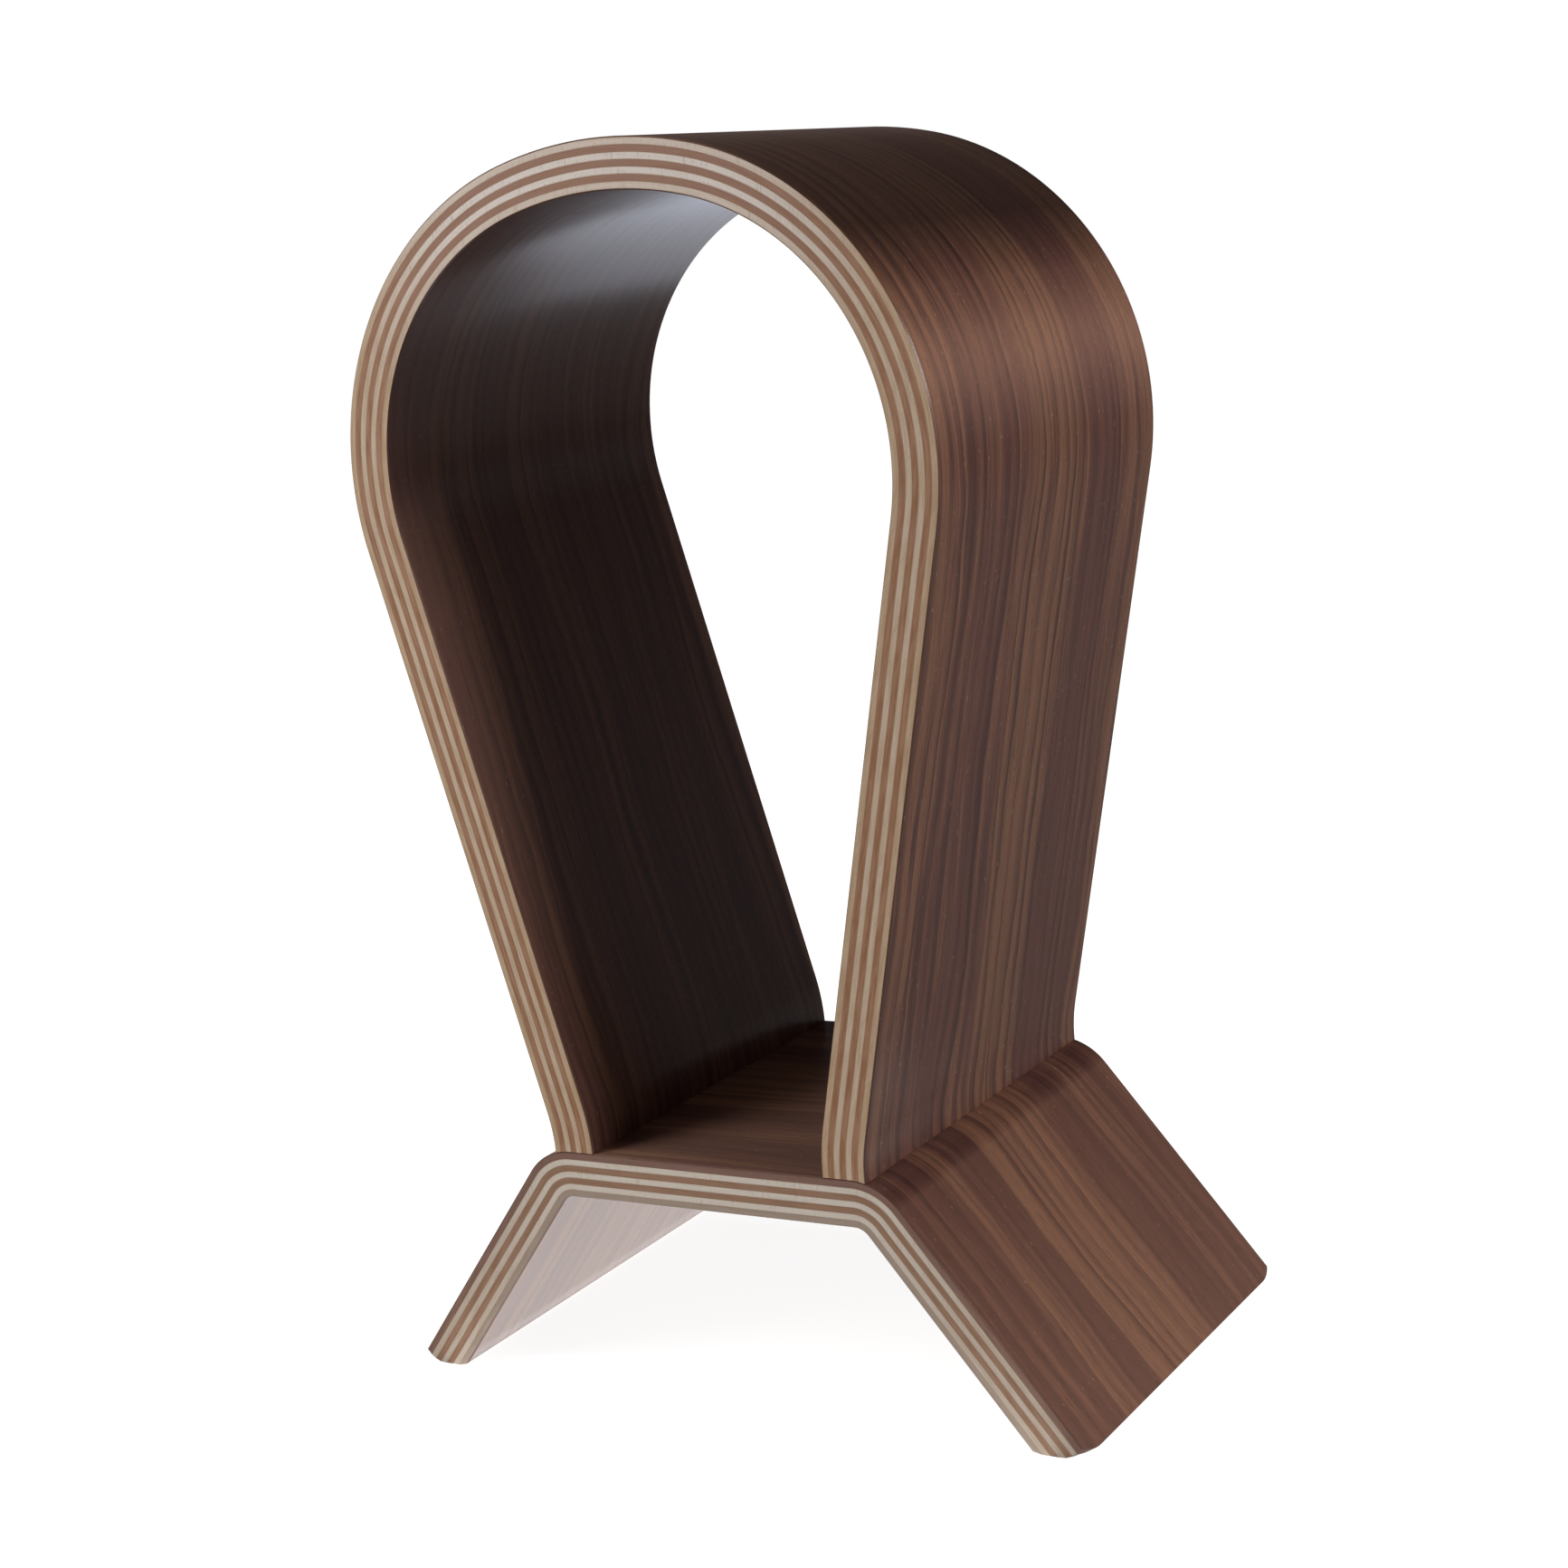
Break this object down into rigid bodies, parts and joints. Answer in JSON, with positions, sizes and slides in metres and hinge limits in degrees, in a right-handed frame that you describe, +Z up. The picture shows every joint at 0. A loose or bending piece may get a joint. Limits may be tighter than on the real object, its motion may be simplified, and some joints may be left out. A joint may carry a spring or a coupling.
{
  "type": "headphone stand",
  "caption": "Free-standing bent-plywood headphone stand: an omega hoop with light and dark plies and walnut faces, on a splayed bridge foot.",
  "frame": {"origin": "on the desk surface, midway between the feet and midway from front to back", "axes": "+X across the stand towards its right foot, +Y from the front to the back, +Z up"},
  "size_m": [0.1764, 0.106, 0.28],
  "materials": {
    "walnut_veneer": "satin lacquer",
    "light_ply": "satin lacquer on the cut edge",
    "dark_ply": "satin lacquer on the cut edge",
    "zinc_steel": "bright zinc plate"
  },
  "bodies": {
    "root": {"hoop_outer_veneer": "walnut_veneer", "hoop_core_ply_1": "light_ply", "hoop_core_ply_2": "dark_ply", "hoop_core_ply_3": "light_ply", "hoop_core_ply_4": "dark_ply", "hoop_core_ply_5": "light_ply", "hoop_core_ply_6": "dark_ply", "hoop_core_ply_7": "light_ply", "hoop_inner_veneer": "walnut_veneer", "bridge_top_veneer": "walnut_veneer", "bridge_core_ply_1": "dark_ply", "bridge_core_ply_2": "light_ply", "bridge_core_ply_3": "dark_ply", "bridge_core_ply_4": "light_ply", "bridge_core_ply_5": "dark_ply", "bridge_core_ply_6": "light_ply", "bridge_core_ply_7": "dark_ply", "bridge_bottom_veneer": "walnut_veneer", "foot_screw_left_front": "zinc_steel", "foot_screw_left_back": "zinc_steel", "foot_screw_right_front": "zinc_steel", "foot_screw_right_back": "zinc_steel"}
  },
  "joints": []
}
